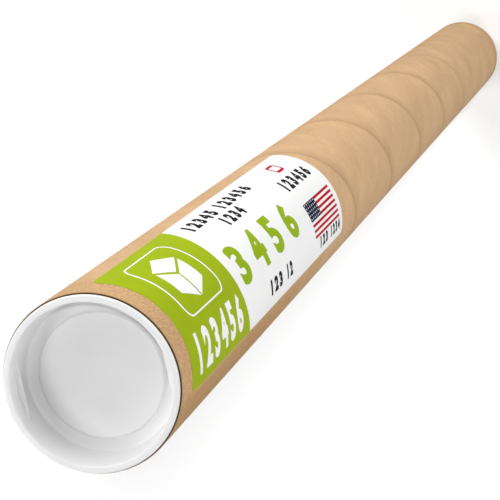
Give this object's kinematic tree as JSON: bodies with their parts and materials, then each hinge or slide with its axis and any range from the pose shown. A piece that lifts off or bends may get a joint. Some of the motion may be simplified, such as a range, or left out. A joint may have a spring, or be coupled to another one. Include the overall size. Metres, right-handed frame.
{
  "type": "cardboard mailing tube",
  "caption": "Long spiral-wound kraft board mailing tube with a recessed moulded plug cap in each end and a printed paper label.",
  "frame": {"origin": "middle of the bottom cap's face, on the surface that the tube stands on", "axes": "+Z along the tube's axis, up towards the labelled end; the label faces -Y, which is the front"},
  "size_m": [0.054, 0.0542, 0.9172],
  "materials": {
    "kraft_board": "matte, spiral wound, with a fine helical seam",
    "printed_paper": "smooth white label stock with a green end field",
    "white_plastic": "moulded, slightly translucent, satin"
  },
  "bodies": {
    "bottom_cap": {"bottom_cap": "white_plastic"},
    "tube": {"tube": "kraft_board", "label": "printed_paper"},
    "top_cap": {"top_cap": "white_plastic"}
  },
  "joints": [
    {"name": "bottom_cap_pull", "type": "slide", "parent": "bottom_cap", "child": "tube", "axis": [0, 0, 1], "range_m": [0, 0.03]},
    {"name": "top_cap_pull", "type": "slide", "parent": "tube", "child": "top_cap", "axis": [0, 0, 1], "range_m": [0, 0.03]}
  ]
}
